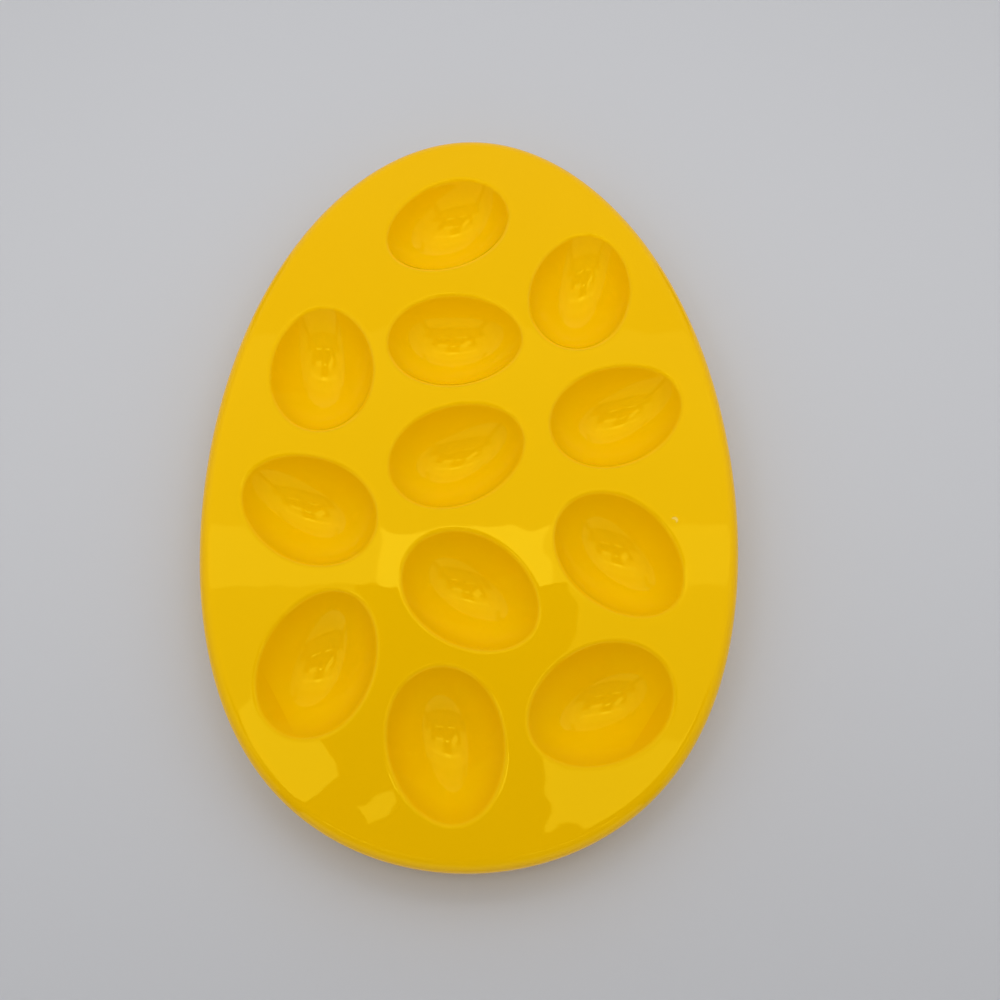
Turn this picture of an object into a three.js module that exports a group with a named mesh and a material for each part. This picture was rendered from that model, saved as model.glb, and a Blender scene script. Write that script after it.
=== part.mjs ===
// Deviled egg tray: an egg-shaped serving plate moulded as one thin glossy shell.
// Its flat deck holds twelve egg-shaped wells, scattered at different turns, and a
// skirt runs down from its rounded edge to a flat rim that stands on the table.
//
// Frame: millimetres, +Z up. The origin is under the middle of the tray, on the
// table. +Y points to the tray's narrow end and +X to the right of it.

import * as THREE from "three";
import { mergeVertices } from "three/addons/utils/BufferGeometryUtils.js";

// Driving dimensions of the shell.
const HEIGHT = 26;
const WALL = 2.4;
const EDGE_RADIUS = 5.5;
const SKIRT_DRAFT = THREE.MathUtils.degToRad(4);

// The deck's outline is an egg. Its half width at the angle t from the narrow end
// is HALF_WIDTH * sin(t) * (1 + a*cos(t) + b*cos(t)^2 + c*cos(t)^3).
const HALF_WIDTH = 111;
const HALF_LENGTH = 163.5;
const OUTLINE_SKEW = [-0.095, 0.08, -0.06];

// One well, measured where its lip leaves the flat deck.
const WELL_LENGTH = 62;
const WELL_WIDTH = 47.5;
const WELL_DEPTH = 20;
const WELL_SKEW = -0.055;
const LIP_ANGLE = THREE.MathUtils.degToRad(62);
const BOWL_ANGLE = THREE.MathUtils.degToRad(47);

// The deepest point lies this far along the well's axis, towards its blunt end.
const DEEPEST = new THREE.Vector2(-1.7, 0);

// Where each well's middle is, and which way its narrow end points, in degrees
// counterclockwise from +X.
const WELLS = [
  { x: -11, y: 114.5, turn: 211 },
  { x: 49, y: 80, turn: 76 },
  { x: -64.5, y: 41.5, turn: 92 },
  { x: -7, y: 55.5, turn: 3 },
  { x: 62.5, y: 19.5, turn: 25 },
  { x: -5.5, y: 1.5, turn: 24 },
  { x: -66.5, y: -22.5, turn: 152 },
  { x: 0.5, y: -57.5, turn: 326 },
  { x: 61, y: -42.5, turn: 314 },
  { x: -59, y: -86, turn: 70 },
  { x: -8.5, y: -117, turn: 281 },
  { x: 51, y: -102.5, turn: 206 },
];

// How finely the surfaces are divided.
const OUTLINE_SEGMENTS = 84;
const EDGE_STEPS = 4;
const INNER_EDGE_STEPS = 3;
const WELL_SEGMENTS = 28;
const LIP_STEPS = 3;
const BOWL_STEPS = 5;
const UNDER_BOWL_STEPS = 4;

// Lengths that follow from the dimensions above. The lip bends about a line at the
// deck's underside, so the underside has a plain corner below it.
const LIP_RADIUS = WALL;
const LIP_DROP = LIP_RADIUS * (1 - Math.cos(LIP_ANGLE));
const LIP_INSET = LIP_RADIUS * Math.sin(LIP_ANGLE);
const BOWL_DEPTH = WELL_DEPTH - LIP_DROP;

// ---------------------------------------------------------------- plan curves

// The tray's outline: a closed curve, counterclockwise seen from above. Its
// parameter runs from the right-hand side through the narrow end.
function trayOutline(u) {
  const t = u - Math.PI / 2;
  const [a, b, c] = OUTLINE_SKEW;
  const along = Math.cos(t);
  const swell = 1 + along * (a + along * (b + along * c));
  return new THREE.Vector2(-HALF_WIDTH * Math.sin(t) * swell, HALF_LENGTH * along);
}

// A well's lip, about the well's own middle, with its narrow end along +X.
function wellOutline(u) {
  const across = Math.sin(u) * (1 + WELL_SKEW * Math.cos(u));
  return new THREE.Vector2((WELL_LENGTH / 2) * Math.cos(u), (WELL_WIDTH / 2) * across);
}

// Points of a counterclockwise curve, each moved outward along the curve's normal.
function offsetPoints(curve, segments, offset) {
  const step = 1e-4;
  return Array.from({ length: segments }, (_, i) => {
    const u = (2 * Math.PI * i) / segments;
    const tangent = curve(u + step).sub(curve(u - step)).normalize();
    return curve(u).add(new THREE.Vector2(tangent.y, -tangent.x).multiplyScalar(offset));
  });
}

// A level ring of points at the height z.
function levelRing(points, z) {
  return points.map((p) => new THREE.Vector3(p.x, p.y, z));
}

// ---------------------------------------------------------------- surface pieces

// Collects triangles, and closes them into one geometry.
class Skin {
  constructor() {
    this.corners = [];
  }

  triangle(a, b, c) {
    this.corners.push(a, b, c);
  }

  // A strip between two rings. Its front is on the outer side of counterclockwise
  // rings when b is above a.
  band(a, b) {
    a.forEach((corner, i) => {
      const next = (i + 1) % a.length;
      this.triangle(corner, a[next], b[next]);
      this.triangle(corner, b[next], b[i]);
    });
  }

  // A row of strips through several rings.
  bands(rings) {
    rings.slice(1).forEach((ring, i) => this.band(rings[i], ring));
  }

  // A fan from a ring to its middle, facing up or down.
  fan(ring, middle, facesUp) {
    ring.forEach((corner, i) => {
      const next = ring[(i + 1) % ring.length];
      const [first, second] = facesUp ? [corner, next] : [next, corner];
      this.triangle(first, second, middle);
    });
  }

  // A flat sheet inside one ring and around several others, facing up or down.
  sheet(outer, holes, facesUp) {
    const clockwiseHoles = holes.map((hole) => [...hole].reverse());
    const corners = [outer, ...clockwiseHoles].flat();
    const faces = THREE.ShapeUtils.triangulateShape(outer, clockwiseHoles);
    for (const [i, j, k] of faces) {
      const [second, third] = facesUp ? [j, k] : [k, j];
      this.triangle(corners[i], corners[second], corners[third]);
    }
  }

  geometry() {
    const soup = new THREE.BufferGeometry().setFromPoints(this.corners);
    return mergeVertices(soup, 1e-4);
  }
}

// ---------------------------------------------------------------- skirt and edge

// The rings of a quarter-round edge of the given radius, from the skirt up to the
// deck. The edge's centre line is the same for the outer and the inner surface.
function edgeRings(radius, steps) {
  return Array.from({ length: steps + 1 }, (_, i) => {
    const angle = THREE.MathUtils.lerp(SKIRT_DRAFT, Math.PI / 2, i / steps);
    const offset = radius * Math.cos(angle) - EDGE_RADIUS;
    const z = HEIGHT - EDGE_RADIUS + radius * Math.sin(angle);
    return levelRing(offsetPoints(trayOutline, OUTLINE_SEGMENTS, offset), z);
  });
}

// The ring where a skirt surface meets the table, under an edge of the given radius.
function footRing(radius) {
  const topOffset = radius * Math.cos(SKIRT_DRAFT) - EDGE_RADIUS;
  const topHeight = HEIGHT - EDGE_RADIUS + radius * Math.sin(SKIRT_DRAFT);
  const offset = topOffset + topHeight * Math.tan(SKIRT_DRAFT);
  return levelRing(offsetPoints(trayOutline, OUTLINE_SEGMENTS, offset), 0);
}

// Adds the skirt from the deck's underside down, under its rim and up to the deck.
function addSkirt(skin) {
  const outer = edgeRings(EDGE_RADIUS, EDGE_STEPS);
  const inner = edgeRings(EDGE_RADIUS - WALL, INNER_EDGE_STEPS);
  const down = [...inner].reverse();
  skin.bands([...down, footRing(EDGE_RADIUS - WALL), footRing(EDGE_RADIUS), ...outer]);
  return { deckRing: outer.at(-1), undersideRing: inner.at(-1) };
}

// ---------------------------------------------------------------- wells

// Turns a well's own ring about its middle and moves it to its place on the deck.
function placeRing(ring, well) {
  const turn = THREE.MathUtils.degToRad(well.turn);
  const middle = new THREE.Vector3(well.x, well.y, 0);
  const up = new THREE.Vector3(0, 0, 1);
  return ring.map((p) => p.clone().applyAxisAngle(up, turn).add(middle));
}

// The rounded lip, from the flat deck inward and down.
function lipRings() {
  return Array.from({ length: LIP_STEPS + 1 }, (_, i) => {
    const angle = (LIP_ANGLE * i) / LIP_STEPS;
    const points = offsetPoints(wellOutline, WELL_SEGMENTS, -LIP_RADIUS * Math.sin(angle));
    return levelRing(points, HEIGHT - LIP_RADIUS * (1 - Math.cos(angle)));
  });
}

// One ring of the bowl below the lip. The rings shrink towards the deepest point, and
// the angle runs from BOWL_ANGLE at the lip to 0 at the bottom. A skin thickness above
// zero gives the matching ring of the bowl's underside.
function bowlRing(angle, thickness) {
  const shrink = Math.sin(angle) / Math.sin(BOWL_ANGLE);
  const sag = (Math.cos(angle) - Math.cos(BOWL_ANGLE)) / (1 - Math.cos(BOWL_ANGLE));
  const slope = (LIP_ANGLE * angle) / BOWL_ANGLE;
  const mouth = offsetPoints(wellOutline, WELL_SEGMENTS, -LIP_INSET);
  const outward = offsetPoints(wellOutline, WELL_SEGMENTS, thickness * Math.sin(slope) - LIP_INSET);
  const points = mouth.map((p, i) => {
    const push = outward[i].clone().sub(p);
    return DEEPEST.clone().lerp(p, shrink).add(push);
  });
  const z = HEIGHT - LIP_DROP - BOWL_DEPTH * sag - thickness * Math.cos(slope);
  return levelRing(points, z);
}

// The bowl's rings from the lip to the last one around its lowest point.
function bowlRings(steps, thickness) {
  return Array.from({ length: steps }, (_, i) => bowlRing(BOWL_ANGLE * (1 - i / steps), thickness));
}

// Adds one well, inside and underneath, and gives back the two rings that the
// deck's sheets join on to.
function addWell(skin, well) {
  const inside = [...lipRings(), ...bowlRings(BOWL_STEPS, 0).slice(1)];
  const under = bowlRings(UNDER_BOWL_STEPS, WALL);
  const insideRings = inside.map((ring) => placeRing(ring, well));
  const underRings = under.map((ring) => placeRing(ring, well)).reverse();
  const bottom = levelRing([DEEPEST], HEIGHT - WELL_DEPTH);
  const underBottom = levelRing([DEEPEST], HEIGHT - WELL_DEPTH - WALL);
  skin.bands(insideRings);
  skin.fan(insideRings.at(-1), placeRing(bottom, well)[0], true);
  skin.bands(underRings);
  skin.fan(underRings[0], placeRing(underBottom, well)[0], false);
  return { lip: insideRings[0], underLip: underRings.at(-1) };
}

// ---------------------------------------------------------------- the tray

function buildTray() {
  const skin = new Skin();
  const { deckRing, undersideRing } = addSkirt(skin);
  const rims = WELLS.map((well) => addWell(skin, well));
  skin.sheet(deckRing, rims.map((rim) => rim.lip), true);
  skin.sheet(undersideRing, rims.map((rim) => rim.underLip), false);
  const material = new THREE.MeshStandardMaterial({
    color: 0xf0b800,
    roughness: 0.18,
    metalness: 0,
    flatShading: true,
  });
  const mesh = new THREE.Mesh(skin.geometry(), material);
  mesh.name = "tray";
  return mesh;
}

const tray = new THREE.Group();
tray.add(buildTray());
export default tray;
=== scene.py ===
"""A deviled egg tray: an egg-shaped serving plate of glossy yellow moulded plastic.

Twelve egg-shaped wells lie scattered at different turns over its flat deck, and a short
skirt runs down from its rounded edge to the rim that it stands on.

Lengths are in metres, with +Z up. The origin is on the table under the middle of the
tray, +Y points to the tray's narrow end and +X to the right of it.
"""

import logging
import math
from collections.abc import Callable
from dataclasses import dataclass
from enum import Enum
from typing import NamedTuple

import bpy
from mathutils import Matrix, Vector


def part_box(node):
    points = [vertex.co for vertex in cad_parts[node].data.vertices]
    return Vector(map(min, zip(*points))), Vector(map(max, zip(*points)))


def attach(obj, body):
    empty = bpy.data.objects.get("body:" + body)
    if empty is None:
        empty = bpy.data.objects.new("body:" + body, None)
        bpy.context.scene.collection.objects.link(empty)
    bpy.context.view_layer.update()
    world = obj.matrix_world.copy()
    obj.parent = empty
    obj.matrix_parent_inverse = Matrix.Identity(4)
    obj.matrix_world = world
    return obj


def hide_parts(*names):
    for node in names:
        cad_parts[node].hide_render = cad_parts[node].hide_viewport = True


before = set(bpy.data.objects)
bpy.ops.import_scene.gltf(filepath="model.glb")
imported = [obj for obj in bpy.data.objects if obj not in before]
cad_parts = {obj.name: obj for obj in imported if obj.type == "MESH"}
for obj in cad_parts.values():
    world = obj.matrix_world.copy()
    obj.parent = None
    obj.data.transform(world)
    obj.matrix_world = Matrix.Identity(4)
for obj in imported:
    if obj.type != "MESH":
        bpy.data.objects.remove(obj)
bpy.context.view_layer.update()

LOG = logging.getLogger("deviled_egg_tray")
MM = 0.001
FULL_TURN = 2 * math.pi


# ------------------------------------------------------------------ node building


class Wire:
    """A number in a node tree, which Python expressions can work with."""

    def __init__(self, bench: "Bench", socket: bpy.types.NodeSocket) -> None:
        """Keeps the socket that carries the number and the bench that it is on."""
        self.bench = bench
        self.socket = socket

    def __add__(self, other: "Number") -> "Wire":
        """Adds a number or another wire."""
        return self.bench.math("ADD", self, other)

    def __radd__(self, other: "Number") -> "Wire":
        """Adds this wire to a number."""
        return self.bench.math("ADD", other, self)

    def __sub__(self, other: "Number") -> "Wire":
        """Takes a number or another wire away."""
        return self.bench.math("SUBTRACT", self, other)

    def __rsub__(self, other: "Number") -> "Wire":
        """Takes this wire away from a number."""
        return self.bench.math("SUBTRACT", other, self)

    def __mul__(self, other: "Number") -> "Wire":
        """Multiplies by a number or another wire."""
        return self.bench.math("MULTIPLY", self, other)

    def __rmul__(self, other: "Number") -> "Wire":
        """Multiplies a number by this wire."""
        return self.bench.math("MULTIPLY", other, self)

    def __truediv__(self, other: "Number") -> "Wire":
        """Divides by a number or another wire."""
        return self.bench.math("DIVIDE", self, other)

    def __neg__(self) -> "Wire":
        """Turns the sign round."""
        return self.bench.math("MULTIPLY", self, -1.0)

    def __lt__(self, other: "Number") -> "Wire":
        """Is 1 where this is less than the other, and 0 elsewhere."""
        return self.bench.math("LESS_THAN", self, other)

    def __gt__(self, other: "Number") -> "Wire":
        """Is 1 where this is greater than the other, and 0 elsewhere."""
        return self.bench.math("GREATER_THAN", self, other)


Number = Wire | float


class Bench:
    """Adds nodes to one node tree."""

    def __init__(self, tree: bpy.types.NodeTree) -> None:
        """Starts work on a tree."""
        self.tree = tree

    def add(
        self,
        kind: str,
        settings: dict[str, object] | None = None,
        sockets: dict[str | int, object] | None = None,
    ) -> bpy.types.Node:
        """Adds one node.

        Args:
            kind: The node's type.
            settings: The node's own properties, set first.
            sockets: Input sockets, by name or number, with values or links.

        Returns:
            The new node.
        """
        node = self.tree.nodes.new(kind)
        for name, value in (settings or {}).items():
            setattr(node, name, value)
        for key, value in (sockets or {}).items():
            self._feed(node.inputs[key], value)
        return node

    def math(self, operation: str, *values: Number) -> Wire:
        """Adds a Math node and gives its result."""
        node = self.add("ShaderNodeMath", {"operation": operation}, dict(enumerate(values)))
        return Wire(self, node.outputs[0])

    def combine(self, x: Number, y: Number, z: Number) -> bpy.types.NodeSocket:
        """Makes a vector of three numbers."""
        return self.add("ShaderNodeCombineXYZ", sockets={"X": x, "Y": y, "Z": z}).outputs[0]

    def separate(self, vector: bpy.types.NodeSocket) -> tuple[Wire, Wire, Wire]:
        """Splits a vector into its three numbers."""
        node = self.add("ShaderNodeSeparateXYZ", sockets={"Vector": vector})
        return tuple(Wire(self, output) for output in node.outputs)

    def _feed(self, target: bpy.types.NodeSocket, value: object) -> None:
        """Links a socket to a wire or another socket, or gives it a value."""
        if isinstance(value, (list, tuple)) and value and isinstance(value[0], bpy.types.NodeSocket):
            for source in value:
                self.tree.links.new(source, target)
        elif isinstance(value, Wire):
            self.tree.links.new(value.socket, target)
        elif isinstance(value, bpy.types.NodeSocket):
            self.tree.links.new(value, target)
        else:
            target.default_value = value


def sine(angle: Wire) -> Wire:
    """The sine of a wire's angle."""
    return angle.bench.math("SINE", angle)


def cosine(angle: Wire) -> Wire:
    """The cosine of a wire's angle."""
    return angle.bench.math("COSINE", angle)


def root(square: Wire) -> Wire:
    """The square root of a wire."""
    return square.bench.math("SQRT", square)


def blend(start: Number, end: Number, share: Number) -> Wire:
    """Goes straight from start to end as the share goes from 0 to 1."""
    return start + (end - start) * share


def ease(value: Wire, start: float, end: float) -> Wire:
    """Goes smoothly from 0 to 1 as the value goes from start to end, and stays there."""
    node = value.bench.add(
        "ShaderNodeMapRange",
        {"interpolation_type": "SMOOTHSTEP"},
        {"Value": value, "From Min": start, "From Max": end, "To Min": 0.0, "To Max": 1.0},
    )
    return Wire(value.bench, node.outputs[0])


class GeometryBench(Bench):
    """Adds nodes to a Geometry Nodes tree with named inputs."""

    def __init__(self, name: str) -> None:
        """Makes an empty tree with a geometry going in and one coming out."""
        super().__init__(bpy.data.node_groups.new(name, "GeometryNodeTree"))
        self.tree.interface.new_socket("Geometry", in_out="INPUT", socket_type="NodeSocketGeometry")
        self.tree.interface.new_socket("Geometry", in_out="OUTPUT", socket_type="NodeSocketGeometry")
        self.entry = self.add("NodeGroupInput")
        self.values: dict[str, object] = {}

    def size(self, name: str, value: float) -> Wire:
        """Adds a named input for a length, an angle or a ratio."""
        return Wire(self, self._input(name, "NodeSocketFloat", value))

    def count(self, name: str, value: int) -> Wire:
        """Adds a named input for a whole number."""
        return Wire(self, self._input(name, "NodeSocketInt", value))

    def material(self, name: str, value: bpy.types.Material) -> bpy.types.NodeSocket:
        """Adds a named input for a material."""
        return self._input(name, "NodeSocketMaterial", value)

    def shape(
        self,
        kind: str,
        settings: dict[str, object] | None = None,
        sockets: dict[str | int, object] | None = None,
    ) -> bpy.types.NodeSocket:
        """Adds a node and gives its first output, the geometry that it makes."""
        return self.add(kind, settings, sockets).outputs[0]

    def weld(self, parts: list[bpy.types.NodeSocket], reach: float) -> bpy.types.NodeSocket:
        """Joins parts into one mesh, and merges the points that are within reach."""
        joined = self.shape("GeometryNodeJoinGeometry", sockets={"Geometry": parts})
        sockets = {"Geometry": joined, "Distance": reach}
        return self.shape("GeometryNodeMergeByDistance", sockets=sockets)

    def make(
        self, result: bpy.types.NodeSocket, base: bpy.types.Mesh, name: str
    ) -> bpy.types.Object:
        """Runs the finished tree on a base mesh.

        Args:
            result: The geometry that the tree gives.
            base: The mesh that goes into the tree.
            name: The new object's name.

        Returns:
            A plain mesh object, with no modifier, at the origin.
        """
        self.add("NodeGroupOutput", sockets={"Geometry": result})
        holder = bpy.data.objects.new(name + "_base", base)
        bpy.context.scene.collection.objects.link(holder)
        modifier = holder.modifiers.new("shape", "NODES")
        modifier.node_group = self.tree
        for item in self.tree.interface.items_tree:
            if item.in_out == "INPUT" and item.name in self.values:
                modifier[item.identifier] = self.values[item.name]
        graph = bpy.context.evaluated_depsgraph_get()
        mesh = bpy.data.meshes.new_from_object(holder.evaluated_get(graph))
        bpy.data.objects.remove(holder)
        mesh.name = name
        self._keep_one_material(mesh)
        piece = bpy.data.objects.new(name, mesh)
        bpy.context.scene.collection.objects.link(piece)
        return piece

    @staticmethod
    def _keep_one_material(mesh: bpy.types.Mesh) -> None:
        """Leaves a mesh with its one real material, in its only slot."""
        real = next(material for material in mesh.materials if material)
        mesh.materials.clear()
        mesh.materials.append(real)
        mesh.polygons.foreach_set("material_index", [0] * len(mesh.polygons))

    def _input(self, name: str, kind: str, value: object) -> bpy.types.NodeSocket:
        """Adds a named input and keeps the value that it will be given."""
        self.tree.interface.new_socket(name, in_out="INPUT", socket_type=kind)
        self.values[name] = value
        return self.entry.outputs[name]


# ------------------------------------------------------------------ finishes


@dataclass(frozen=True)
class PaleMark:
    """A small pale crescent-shaped mark on the deck, with a shallow dent and duller gloss: a disc
    with a bite taken out of it.
    """

    middle: tuple[float, float] = (84.3 * MM, -28.1 * MM)
    bite_middle: tuple[float, float] = (83.5 * MM, -29.0 * MM)
    radius: float = 1.5 * MM
    soft_edge: float = 0.375 * MM
    depth: float = 0.1 * MM
    dullness: float = 0.3
    colour: tuple[float, float, float, float] = (0.93, 0.62, 0.11, 1.0)


@dataclass(frozen=True)
class GlossyPlastic:
    """Hard glossy moulded plastic.

    The colour drifts between colour and deep_colour, and turns to a lighter colour down in
    the wells. That lighter colour is painted light, a painted brightening of the hollow
    wells and not the plastic's own colour. The wells have all of it from a set share of
    their depth on. An ellipse of a set half width and half length holds every well, and
    leaves the skirt out.
    """

    name: str = "yellow_gloss_plastic"
    colour: tuple[float, float, float, float] = (0.93, 0.52, 0.0, 1.0)
    deep_colour: tuple[float, float, float, float] = (0.91, 0.5, 0.0, 1.0)
    # Painted light: a lighter colour painted into the wells, not the plastic's own colour.
    painted_well_light: tuple[float, float, float, float] = (0.97, 0.585, 0.0, 1.0)
    # The ellipse that holds every well and bounds the painted well light.
    painted_light_field: tuple[float, float] = (100 * MM, 152 * MM)
    # From this share of the wells' depth on, the painted well light is full.
    painted_light_full_share: float = 0.7
    cloud_length: float = 60 * MM
    gloss_tint: tuple[float, float, float, float] = (1.0, 0.93, 0.045, 1.0)
    roughness: float = 0.01
    wipe_roughness: float = 0.02
    wipe_length: float = 25 * MM
    ripple_length: float = 24 * MM
    ripple_height: float = 0.22 * MM
    peel_length: float = 2.2 * MM
    peel_height: float = 0.0012 * MM
    pale_mark: PaleMark = PaleMark()

    def make(self, deck_height: float, well_depth: float) -> bpy.types.Material:
        """Makes the material for a tray with the given heights."""
        material = bpy.data.materials.new(self.name)
        material.use_nodes = True
        material.node_tree.nodes.clear()
        bench = Bench(material.node_tree)
        place = bench.add("ShaderNodeTexCoord").outputs["Object"]
        # A small pale crescent mark on the deck, with a shallow dent and duller gloss.
        marked = self._pale_mark_share(bench, place)
        # How much of the painted well light each point gets.
        well_light_share = self._painted_well_light_share(bench, place, deck_height, deck_height - self.painted_light_full_share * well_depth)
        surface = bench.add(
            "ShaderNodeBsdfPrincipled",
            sockets={
                "Base Color": self._colour(bench, place, marked, well_light_share),
                "Roughness": self._roughness(bench, place, marked),
                "Normal": self._bumps(bench, place, marked),
                "IOR": 1.5,
                "Specular Tint": self.gloss_tint,
            },
        )
        bench.add("ShaderNodeOutputMaterial", sockets={"Surface": surface.outputs[0]})
        return material

    @staticmethod
    def _noise(
        bench: Bench, place: bpy.types.NodeSocket, length: float, detail: float = 1.0
    ) -> Wire:
        """A smooth random value that changes over about the given length."""
        node = bench.add(
            "ShaderNodeTexNoise",
            sockets={"Vector": place, "Scale": 1 / length, "Detail": detail, "Roughness": 0.5},
        )
        return Wire(bench, node.outputs[0])

    def _pale_mark_share(self, bench: Bench, place: bpy.types.NodeSocket) -> Wire:
        """Is 1 inside the pale crescent-shaped mark and 0 elsewhere."""
        x, y, _ = bench.separate(place)
        inside = self._disc(x, y, self.pale_mark.middle)
        bite = self._disc(x, y, self.pale_mark.bite_middle)
        return inside * (1 - bite)

    def _disc(self, x: Wire, y: Wire, middle: tuple[float, float]) -> Wire:
        """Is 1 inside a soft-edged disc of the pale mark's radius, and 0 outside it."""
        across = x - middle[0]
        along = y - middle[1]
        distance = root(across * across + along * along)
        return ease(distance, self.pale_mark.radius, self.pale_mark.radius - self.pale_mark.soft_edge)

    def _colour(
        self, bench: Bench, place: bpy.types.NodeSocket, marked: Wire, well_light_share: Wire
    ) -> bpy.types.NodeSocket:
        """The moulding's colour, with faint cloudy changes, painted light that makes the wells
        lighter, and the pale crescent mark.
        """
        clouds = self._noise(bench, place, self.cloud_length, 2.0)
        body = self._mix(bench, clouds, self.deep_colour, self.colour)
        # Painted light: the wells are painted lighter than the plastic's own colour.
        body = self._mix(bench, well_light_share, body, self.painted_well_light)
        return self._mix(bench, marked, body, self.pale_mark.colour)

    def _painted_well_light_share(self, bench: Bench, place: bpy.types.NodeSocket, high: float, low: float) -> Wire:
        """The share of the painted well light: 0 at the high level, 1 at the low one in the wells,
        and 0 on the skirt.
        """
        x, y, z = bench.separate(place)
        across, along = x / self.painted_light_field[0], y / self.painted_light_field[1]
        inside = across * across + along * along < 1.0
        return ease(z, high, low) * inside

    @staticmethod
    def _mix(bench: Bench, share: Wire, first: object, second: object) -> bpy.types.NodeSocket:
        """Mixes two colours."""
        node = bench.add("ShaderNodeMix", {"data_type": "RGBA"}, {0: share, 6: first, 7: second})
        return node.outputs[2]

    def _roughness(self, bench: Bench, place: bpy.types.NodeSocket, marked: Wire) -> Wire:
        """Slightly uneven gloss, dull in the pale mark."""
        wipe = self._noise(bench, place, self.wipe_length, 3.0)
        return self.roughness + self.wipe_roughness * wipe + self.pale_mark.dullness * marked

    def _bumps(
        self, bench: Bench, place: bpy.types.NodeSocket, marked: Wire
    ) -> bpy.types.NodeSocket:
        """The faint ripple and orange peel that bend reflections."""
        ripple = self._noise(bench, place, self.ripple_length)
        peel = self._noise(bench, place, self.peel_length)
        relief = ripple * self.ripple_height + peel * self.peel_height
        height = relief - marked * self.pale_mark.depth
        sockets = {"Strength": 1.0, "Distance": 1.0, "Height": height}
        return bench.add("ShaderNodeBump", sockets=sockets).outputs[0]


@dataclass(frozen=True)
class TableTop:
    """A plain pale matte table."""

    name: str = "pale_table"
    colour: tuple[float, float, float, float] = (0.595, 0.6, 0.625, 1.0)
    roughness: float = 0.6

    def make(self) -> bpy.types.Material:
        """Makes the material."""
        material = bpy.data.materials.new(self.name)
        material.use_nodes = True
        material.node_tree.nodes.clear()
        bench = Bench(material.node_tree)
        surface = bench.add(
            "ShaderNodeBsdfPrincipled",
            sockets={"Base Color": self.colour, "Roughness": self.roughness, "IOR": 1.4},
        )
        bench.add("ShaderNodeOutputMaterial", sockets={"Surface": surface.outputs[0]})
        return material


# ------------------------------------------------------------------ the tray


class Skin(Enum):
    """Which side of the moulded wall a surface is on."""

    SHOWN = "shown"
    HIDDEN = "hidden"


class Place(NamedTuple):
    """Where a well's middle is, and which way its narrow end points from +X."""

    x: float
    y: float
    turn: float


class Strip(NamedTuple):
    """One strip of the skirt's section, from its first ring to its last.

    point gives the outward offset and the height at a share of the way along the strip.
    """

    rings: int
    point: Callable[[Wire], tuple[Number, Number]]


@dataclass
class Outline:
    """The deck's egg-shaped outline, before its edge is rounded.

    At the angle t up from +X it is half_width * cos(t) * (1 + a*s + b*s^2 + c*s^3) to the
    side and half_length * s along, where s = sin(t) and a, b, c are the skew.
    """

    half_width: float
    half_length: float
    skew: tuple[float, float, float] = (-0.095, 0.08, -0.06)

    @classmethod
    def inside_box(cls, low: Vector, high: Vector, flare: float) -> "Outline":
        """Fits the outline into a box, less the skirt's flare on every side."""
        shape = cls(1.0, (high.y - low.y) / 2 - flare)
        samples = 3600
        turns = [FULL_TURN * i / samples for i in range(samples)]
        widest = max(math.cos(t) * shape.swell(math.sin(t)) for t in turns)
        shape.half_width = ((high.x - low.x) / 2 - flare) / widest
        return shape

    def swell(self, s: Number) -> Number:
        """How much wider than an ellipse the outline is at the share s."""
        a, b, c = self.skew
        return 1 + s * (a + s * (b + s * c))

    def swell_slope(self, s: Number) -> Number:
        """How fast the swell changes with the share s."""
        a, b, c = self.skew
        return a + s * (2 * b + s * (3 * c))


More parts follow.
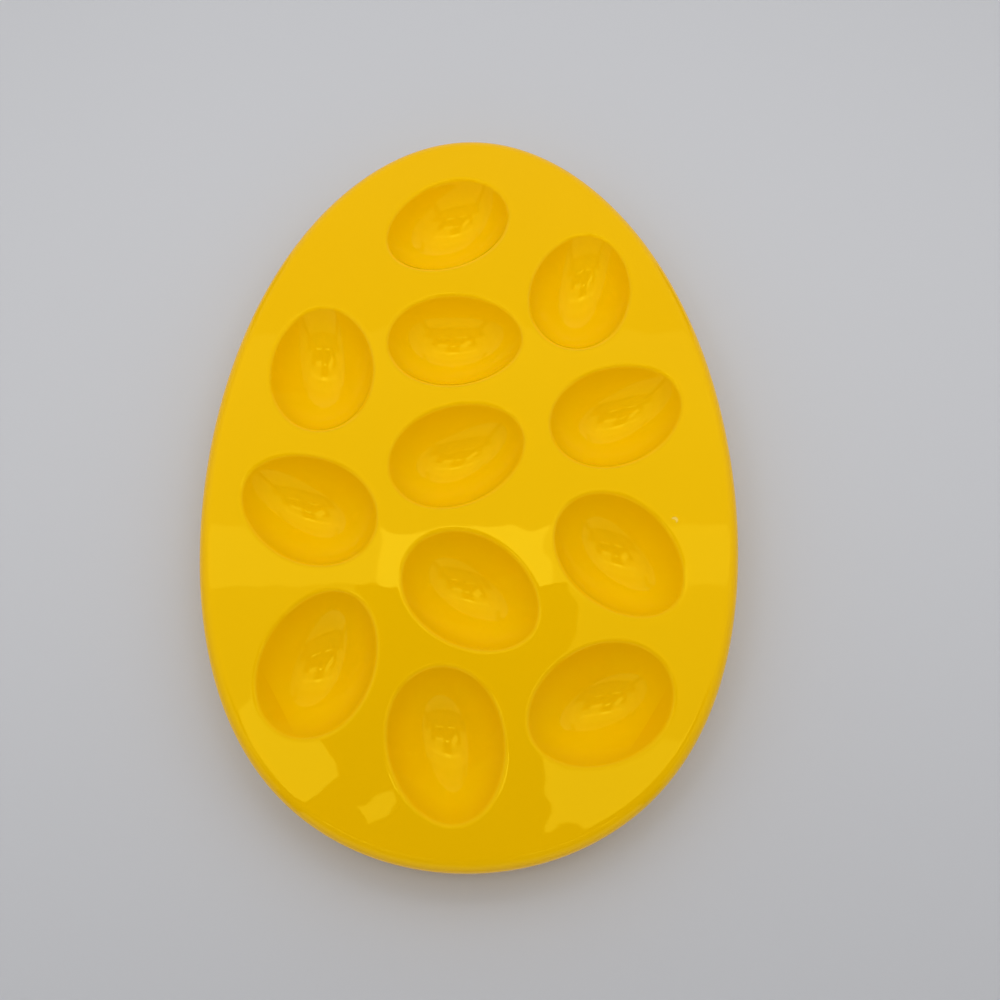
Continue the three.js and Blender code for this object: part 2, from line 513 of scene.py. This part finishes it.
@dataclass
class Tray:
    """The moulded tray: deck, wells, rounded edge and skirt in one shell.

    The collar is a narrow flat border that the deck's sheets are joined on to. A field
    that ends in segments or rings says how finely that stretch of surface is divided.
    """

    finish: GlossyPlastic
    node: str = "tray"
    wall: float = 2.4 * MM
    edge_radius: float = 5.5 * MM
    draft: float = math.radians(4)
    foot_radius: float = 0.7 * MM
    collar: float = 0.5 * MM
    well_length: float = 62 * MM
    well_width: float = 47.5 * MM
    well_depth: float = 20 * MM
    well_skew: float = -0.055
    lip_angle: float = math.radians(62)
    bowl_angle: float = math.radians(47)
    deepest: float = -1.7 * MM
    outline_segments: int = 288
    well_segments: int = 96
    border_rings: int = 2
    lip_rings: int = 12
    bowl_rings: int = 26
    under_bowl_rings: int = 14
    outer_edge_rings: int = 17
    inner_edge_rings: int = 9
    face_rings: int = 5
    foot_rings: int = 5
    weld: float = 0.004 * MM
    crease: float = math.radians(32)
    places: tuple[Place, ...] = (
        Place(-11 * MM, 114.5 * MM, 211),
        Place(49 * MM, 80 * MM, 76),
        Place(-64.5 * MM, 41.5 * MM, 92),
        Place(-7 * MM, 55.5 * MM, 3),
        Place(62.5 * MM, 19.5 * MM, 25),
        Place(-5.5 * MM, 1.5 * MM, 24),
        Place(-66.5 * MM, -22.5 * MM, 152),
        Place(0.5 * MM, -57.5 * MM, 326),
        Place(61 * MM, -42.5 * MM, 314),
        Place(-59 * MM, -86 * MM, 70),
        Place(-8.5 * MM, -117 * MM, 281),
        Place(51 * MM, -102.5 * MM, 206),
    )

    def __post_init__(self) -> None:
        """Takes the outer sizes from the frame."""
        low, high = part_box(self.node)
        self.height = high.z - low.z
        straight = self.height - self.edge_radius * (1 - math.sin(self.draft))
        flare = straight * math.tan(self.draft) - self.edge_radius * (1 - math.cos(self.draft))
        self.outline = Outline.inside_box(low, high, flare)

    def build(self) -> bpy.types.Object:
        """Makes the whole tray and puts it in the CAD node's place."""
        bench = GeometryBench("tray_shell")
        self._name_inputs(bench)
        field = bench.add("GeometryNodeInputPosition").outputs[0]
        x, y, _ = bench.separate(field)
        self.turn = (x + 0.5) * FULL_TURN
        self.share = y + 0.5
        wells = self._wells(bench)
        skirt = self._skirt(bench)
        piece = bench.make(self._close(bench, wells, skirt), self._place_points(), "tray_shell")
        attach(piece, "root")
        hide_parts(self.node)
        return piece

    def _name_inputs(self, bench: GeometryBench) -> None:
        """Adds the tree's named inputs."""
        self.high = bench.size("Height", self.height)
        self.thick = bench.size("Wall", self.wall)
        self.rounding = bench.size("Edge Radius", self.edge_radius)
        self.lean = bench.size("Draft", self.draft)
        self.foot = bench.size("Foot Radius", self.foot_radius)
        self.border = bench.size("Collar", self.collar)
        self.half_width = bench.size("Half Width", self.outline.half_width)
        self.half_length = bench.size("Half Length", self.outline.half_length)
        self.bowl_long = bench.size("Well Half Length", self.well_length / 2)
        self.bowl_wide = bench.size("Well Half Width", self.well_width / 2)
        self.bowl_deep = bench.size("Well Depth", self.well_depth)
        self.lip_bend = bench.size("Lip Angle", self.lip_angle)
        self.bowl_bend = bench.size("Bowl Angle", self.bowl_angle)
        self.low_point = bench.size("Deepest Point", self.deepest)
        self.around_tray = bench.count("Outline Segments", self.outline_segments)
        self.around_well = bench.count("Well Segments", self.well_segments)
        self.plastic = bench.material("Plastic", self.finish.make(self.height, self.well_depth))

    def _place_points(self) -> bpy.types.Mesh:
        """A mesh with one loose point for each well, which holds the well's turn."""
        mesh = bpy.data.meshes.new("well_places")
        mesh.from_pydata([(p.x, p.y, 0.0) for p in self.places], [], [])
        turns = mesh.attributes.new("turn", "FLOAT", "POINT")
        turns.data.foreach_set("value", [math.radians(p.turn) for p in self.places])
        return mesh

    @staticmethod
    def _sheet(
        bench: GeometryBench, around: Wire, rings: int, place: bpy.types.NodeSocket, skin: Skin
    ) -> bpy.types.NodeSocket:
        """A closed ring of surface.

        Args:
            bench: The tree to add it to.
            around: How many segments it has around.
            rings: How many rings of points it has, from its first edge to its last.
            place: Where each point goes.
            skin: A hidden sheet faces the other way.

        Returns:
            The sheet, open at its seam until it is welded.
        """
        counts = {"Vertices X": around + 1, "Vertices Y": rings}
        grid = bench.shape("GeometryNodeMeshGrid", sockets={"Size X": 1.0, "Size Y": 1.0, **counts})
        sockets = {"Geometry": grid, "Position": place}
        sheet = bench.shape("GeometryNodeSetPosition", sockets=sockets)
        if skin is Skin.HIDDEN:
            sheet = bench.shape("GeometryNodeFlipFaces", sockets={"Mesh": sheet})
        return sheet

    # -------------------------------------------------------------- wells

    def _wells(self, bench: GeometryBench) -> bpy.types.NodeSocket:
        """One well, inside and underneath, set down at each of the wells' places."""
        turn_x, turn_y = cosine(self.turn), sine(self.turn)
        rim_x = self.bowl_long * turn_x
        rim_y = self.bowl_wide * turn_y * (1 + self.well_skew * turn_x)
        run_x = -1 * self.bowl_long * turn_y
        run_y = self.bowl_wide * (turn_x + self.well_skew * cosine(self.turn * 2))
        run = root(run_x * run_x + run_y * run_y)
        out_x, out_y = run_y / run, -run_x / run
        inset = self.thick * sine(self.lip_bend)
        drop = self.thick * (1 - cosine(self.lip_bend))
        mouth_x, mouth_y = rim_x - out_x * inset, rim_y - out_y * inset

        def sheet(
            rings: int, shrink: Number, push: Number, height: Number, skin: Skin = Skin.SHOWN
        ) -> bpy.types.NodeSocket:
            """A sheet of the well: its mouth, shrunk to the deepest point and pushed outward."""
            ring_x = blend(self.low_point, mouth_x, shrink) + out_x * push
            ring_y = mouth_y * shrink + out_y * push
            place = bench.combine(ring_x, ring_y, height)
            return self._sheet(bench, self.around_well, rings, place, skin)

        lip = self.lip_bend * self.share
        lip_push = inset - self.thick * sine(lip)
        lip_height = self.high - self.thick * (1 - cosine(lip))
        bowl = self.bowl_bend * (1 - self.share)
        shrink = sine(bowl) / sine(self.bowl_bend)
        sag = (cosine(bowl) - cosine(self.bowl_bend)) / (1 - cosine(self.bowl_bend))
        slope = self.lip_bend * (1 - self.share)
        floor = self.high - drop - (self.bowl_deep - drop) * sag
        under_push, under_floor = self.thick * sine(slope), floor - self.thick * cosine(slope)
        sheets = [
            sheet(self.border_rings, 1.0, inset + self.border * (1 - self.share), self.high),
            sheet(self.lip_rings, 1.0, lip_push, lip_height),
            sheet(self.bowl_rings, shrink, 0.0, floor),
            sheet(self.under_bowl_rings, shrink, under_push, under_floor, Skin.HIDDEN),
        ]
        turn = bench.add("GeometryNodeInputNamedAttribute", {"data_type": "FLOAT"}, {"Name": "turn"})
        copies = bench.shape(
            "GeometryNodeInstanceOnPoints",
            sockets={
                "Points": bench.entry.outputs["Geometry"],
                "Instance": bench.weld(sheets, self.weld),
                "Rotation": bench.combine(0.0, 0.0, Wire(bench, turn.outputs[0])),
            },
        )
        return bench.shape("GeometryNodeRealizeInstances", sockets={"Geometry": copies})

    # -------------------------------------------------------------- edge and skirt

    def _skirt(self, bench: GeometryBench) -> list[bpy.types.NodeSocket]:
        """The rounded edge, the skirt's two faces and its foot, as strips."""
        turn_x, turn_y = cosine(self.turn), sine(self.turn)
        swell = self.outline.swell(turn_y)
        rim_x = self.half_width * turn_x * swell
        rim_y = self.half_length * turn_y
        slope = self.outline.swell_slope(turn_y)
        run_x = self.half_width * (turn_x * turn_x * slope - turn_y * swell)
        run_y = self.half_length * turn_x
        run = root(run_x * run_x + run_y * run_y)
        out_x, out_y = run_y / run, -run_x / run
        sheets = []
        for strip in self._strips():
            offset, height = strip.point(self.share)
            place = bench.combine(rim_x + out_x * offset, rim_y + out_y * offset, height)
            sheets.append(self._sheet(bench, self.around_tray, strip.rings, place, Skin.SHOWN))
        return sheets

    def _strips(self) -> list[Strip]:
        """The section of the edge and the skirt, from the deck's underside round to its top.

        Returns:
            The strips in order. Offsets are outward from the deck's outline, and heights
            are above the table.
        """
        lean, foot = self.lean, self.foot
        outer, inner = self.rounding, self.rounding - self.thick
        middle_offset, middle_height = -1 * self.rounding, self.high - self.rounding
        lean_sine, lean_cosine = sine(lean), cosine(lean)
        lean_slope = lean_sine / lean_cosine

        def edge(radius: Wire, angle: Wire) -> tuple[Wire, Wire]:
            """A point of the rounded edge, at an angle up from level."""
            return middle_offset + radius * cosine(angle), middle_height + radius * sine(angle)

        def face(radius: Wire, height: Wire) -> tuple[Wire, Wire]:
            """A point of a skirt face at a height, below an edge of the given radius."""
            top_offset = middle_offset + radius * lean_cosine
            top_height = middle_height + radius * lean_sine
            return top_offset + (top_height - height) * lean_slope, height

        def round_foot(offset: Wire, angle: Wire) -> tuple[Wire, Wire]:
            """A point of one of the foot's rounded corners, at an angle up from level."""
            return offset + foot * cosine(angle), foot + foot * sine(angle)

        outer_foot = face(outer, foot)[0] - foot / lean_cosine
        inner_foot = face(inner, foot)[0] + foot / lean_cosine
        outer_low, inner_low = foot + foot * lean_sine, foot - foot * lean_sine
        outer_high, inner_high = edge(outer, lean)[1], edge(inner, lean)[1]
        up, down = math.pi / 2, -math.pi / 2
        inward, down_again = math.pi + lean, FULL_TURN + down
        border, faces, feet = self.border_rings, self.face_rings, self.foot_rings
        return [
            Strip(border, lambda v: (middle_offset - self.border * (1 - v), self.high - self.thick)),
            Strip(self.inner_edge_rings, lambda v: edge(inner, blend(up, lean, v))),
            Strip(faces, lambda v: face(inner, blend(inner_high, inner_low, v))),
            Strip(feet, lambda v: round_foot(inner_foot, blend(inward, down_again, v))),
            Strip(border, lambda v: (blend(inner_foot, outer_foot, v), 0.0)),
            Strip(feet, lambda v: round_foot(outer_foot, blend(down, lean, v))),
            Strip(faces, lambda v: face(outer, blend(outer_low, outer_high, v))),
            Strip(self.outer_edge_rings, lambda v: edge(outer, blend(lean, up, v))),
            Strip(border, lambda v: (middle_offset - self.border * v, self.high)),
        ]

    # -------------------------------------------------------------- deck

    def _close(
        self, bench: GeometryBench, wells: bpy.types.NodeSocket, skirt: list[bpy.types.NodeSocket]
    ) -> bpy.types.NodeSocket:
        """Welds the strips, stretches the deck over what is open, and finishes the shell."""
        walls = bench.weld([wells, *skirt], self.weld)
        neighbours = bench.add("GeometryNodeInputMeshEdgeNeighbors").outputs[0]
        one_face_beside = Wire(bench, neighbours) < 1.5
        _, _, z = bench.separate(bench.add("GeometryNodeInputPosition").outputs[0])
        middle = self.high - self.thick / 2
        deck = self._deck(bench, walls, one_face_beside * (z > middle), self.high)
        under = one_face_beside * (z < middle)
        ceiling = self._deck(bench, walls, under, self.high - self.thick)
        ceiling = bench.shape("GeometryNodeFlipFaces", sockets={"Mesh": ceiling})
        shell = bench.weld([walls, deck, ceiling], self.weld)
        shell = bench.shape("GeometryNodeSetShadeSmooth", sockets={0: shell, "Shade Smooth": True})
        bend = Wire(bench, bench.add("GeometryNodeInputMeshEdgeAngle").outputs[0])
        shell = bench.shape(
            "GeometryNodeSetShadeSmooth",
            {"domain": "EDGE"},
            {0: shell, "Selection": bend > self.crease, "Shade Smooth": False},
        )
        shell = bench.shape("GeometryNodeRealizeInstances", sockets={"Geometry": shell})
        sockets = {"Geometry": shell, "Material": self.plastic}
        return bench.shape("GeometryNodeSetMaterial", sockets=sockets)

    @staticmethod
    def _deck(
        bench: GeometryBench, walls: bpy.types.NodeSocket, edges: Wire, height: Wire
    ) -> bpy.types.NodeSocket:
        """A flat sheet at a height, inside the outer open edge and around the wells' edges."""
        sockets = {"Mesh": walls, "Selection": edges}
        loops = bench.shape("GeometryNodeMeshToCurve", sockets=sockets)
        sheet = bench.shape("GeometryNodeFillCurve", {"mode": "TRIANGLES"}, {"Curve": loops})
        lift = bench.combine(0.0, 0.0, height)
        return bench.shape("GeometryNodeSetPosition", sockets={"Geometry": sheet, "Offset": lift})


# ------------------------------------------------------------------ table, light and camera


# How high the level panels hang above the table.
ROOF = 0.476


@dataclass(frozen=True)
class Panel:
    """A soft light panel near the tray. Unturned, it hangs level and faces down."""

    name: str
    middle: tuple[float, float, float]
    size: tuple[float, float]
    brightness: float
    turn: tuple[float, float, float] = (0.0, 0.0, 0.0)

    def hang(self) -> None:
        """Adds the panel. Its brightness is what the panel's own surface shows."""
        light = bpy.data.lights.new(self.name, "AREA")
        light.shape = "RECTANGLE"
        light.size, light.size_y = self.size
        light.energy = self.brightness * math.pi * self.size[0] * self.size[1]
        lamp = bpy.data.objects.new(self.name, light)
        lamp.location = self.middle
        lamp.rotation_euler = [math.radians(angle) for angle in self.turn]
        lamp.visible_camera = False
        bpy.context.scene.collection.objects.link(lamp)


@dataclass
class Studio:
    """The table, the light and the camera.

    The roof's panels make the broad bright and dark areas that the glossy tray reflects.
    The wall panels light its sides.
    """

    table_size: tuple[float, float] = (1.44, 1.7)
    world_colour: tuple[float, float, float, float] = (0.98, 0.99, 1.0, 1.0)
    world_strength: float = 0.12
    backdrop_strength: float = 0.62
    camera_place: tuple[float, float, float] = (8.0 * MM, -147.5 * MM, 397.2 * MM)
    camera_turn: tuple[float, float, float] = (19.05, -0.59, -0.28)
    lens: float = 34.2
    panels: tuple[Panel, ...] = (
        Panel("far_strip_left", (-0.222, -0.13, ROOF), (0.2, 0.1), 2.35, (0.0, 0.0, 42.0)),
        Panel("far_strip_middle", (-0.027, -0.1, ROOF), (0.076, 0.026), 4.6),
        Panel("far_strip_right", (0.155, -0.113, ROOF), (0.2, 0.07), 2.1),
        Panel("near_strip_left", (-0.16, -0.33, ROOF), (0.2, 0.018), 4.4),
        Panel("near_strip_right", (0.16, -0.33, ROOF), (0.2, 0.018), 4.4),
        Panel("small_patch", (-0.083, -0.131, ROOF), (0.024, 0.014), 2.1, (0.0, 0.0, 25.0)),
        Panel("roof_near_left", (-0.2565, -0.0065, ROOF), (0.287, 0.123), 1.05),
        Panel("roof_near_right", (0.239, -0.0115, ROOF), (0.322, 0.133), 1.2),
        Panel("seam_left", (-0.245, 0.0825, ROOF), (0.31, 0.055), 2.1),
        Panel("seam_middle", (-0.015, 0.0825, ROOF), (0.15, 0.055), 3.7),
        Panel("seam_right", (0.23, 0.0825, ROOF), (0.34, 0.055), 2.15),
        Panel("roof_middle", (0.0, 0.21, ROOF), (0.8, 0.2), 1.22),
        Panel("roof_far", (0.0, 0.56, ROOF), (1.2, 0.5), 0.7),
        Panel("roof_left", (-0.56, 0.0, ROOF), (0.32, 0.62), 0.98),
        Panel("roof_right", (0.56, 0.0, ROOF), (0.32, 0.62), 0.98),
        Panel("roof_behind", (0.0, -0.52, ROOF), (1.0, 0.3), 0.28),
        Panel("far_wall_high", (0.0, 0.85, 0.36), (1.4, 0.23), 0.65, (-90.0, 0.0, 0.0)),
        Panel("far_wall_low", (0.0, 0.85, 0.12), (1.4, 0.24), 0.5, (-90.0, 0.0, 0.0)),
        Panel("near_wall", (0.0, -0.75, 0.24), (1.4, 0.47), 0.85, (90.0, 0.0, 0.0)),
        Panel("left_wall_high", (-0.72, 0.0, 0.36), (0.23, 1.2), 0.65, (0.0, -90.0, 0.0)),
        Panel("left_wall_low", (-0.72, 0.0, 0.12), (0.24, 1.2), 0.4, (0.0, -90.0, 0.0)),
        Panel("right_wall_high", (0.72, 0.0, 0.36), (0.23, 1.2), 0.65, (0.0, 90.0, 0.0)),
        Panel("right_wall_low", (0.72, 0.0, 0.12), (0.24, 1.2), 0.4, (0.0, 90.0, 0.0)),
    )

    def build(self) -> None:
        """Sets the whole studio up."""
        self._lay_table()
        self._light_world()
        for panel in self.panels:
            panel.hang()
        self._set_camera()
        bpy.context.scene.view_settings.view_transform = "Standard"

    def _lay_table(self) -> None:
        """Lays a wide flat table under the tray, as far as the wall panels."""
        x, y = self.table_size[0] / 2, self.table_size[1] / 2
        corners = [(-x, -y, 0.0), (x, -y, 0.0), (x, y, 0.0), (-x, y, 0.0)]
        mesh = bpy.data.meshes.new("table")
        mesh.from_pydata(corners, [], [(0, 1, 2, 3)])
        mesh.materials.append(TableTop().make())
        table = bpy.data.objects.new("table", mesh)
        bpy.context.scene.collection.objects.link(table)

    def _light_world(self) -> None:
        """Fills the room with dim even light, in front of a plain pale backdrop."""
        world = bpy.data.worlds.new("room")
        world.use_nodes = True
        world.node_tree.nodes.clear()
        bench = Bench(world.node_tree)
        seen = Wire(bench, bench.add("ShaderNodeLightPath").outputs["Is Camera Ray"])
        strength = blend(self.world_strength, self.backdrop_strength, seen)
        sockets = {"Color": self.world_colour, "Strength": strength}
        glow = bench.add("ShaderNodeBackground", sockets=sockets)
        bench.add("ShaderNodeOutputWorld", sockets={"Surface": glow.outputs[0]})
        bpy.context.scene.world = world

    def _set_camera(self) -> None:
        """Puts the camera over the tray's wide end, looking down at it."""
        data = bpy.data.cameras.new("camera")
        data.lens = self.lens
        data.sensor_width = 36.0
        data.clip_start = 0.01
        camera = bpy.data.objects.new("camera", data)
        camera.location = self.camera_place
        camera.rotation_euler = [math.radians(angle) for angle in self.camera_turn]
        bpy.context.scene.collection.objects.link(camera)
        bpy.context.scene.camera = camera


def main() -> None:
    """Builds the studio and the tray, and reports each piece."""
    logging.basicConfig(level=logging.INFO, format="%(message)s")
    Studio().build()
    tray = Tray(GlossyPlastic()).build()
    LOG.info("%s: %d triangles", tray.name, sum(len(f.vertices) - 2 for f in tray.data.polygons))


if __name__ == "__main__":
    main()
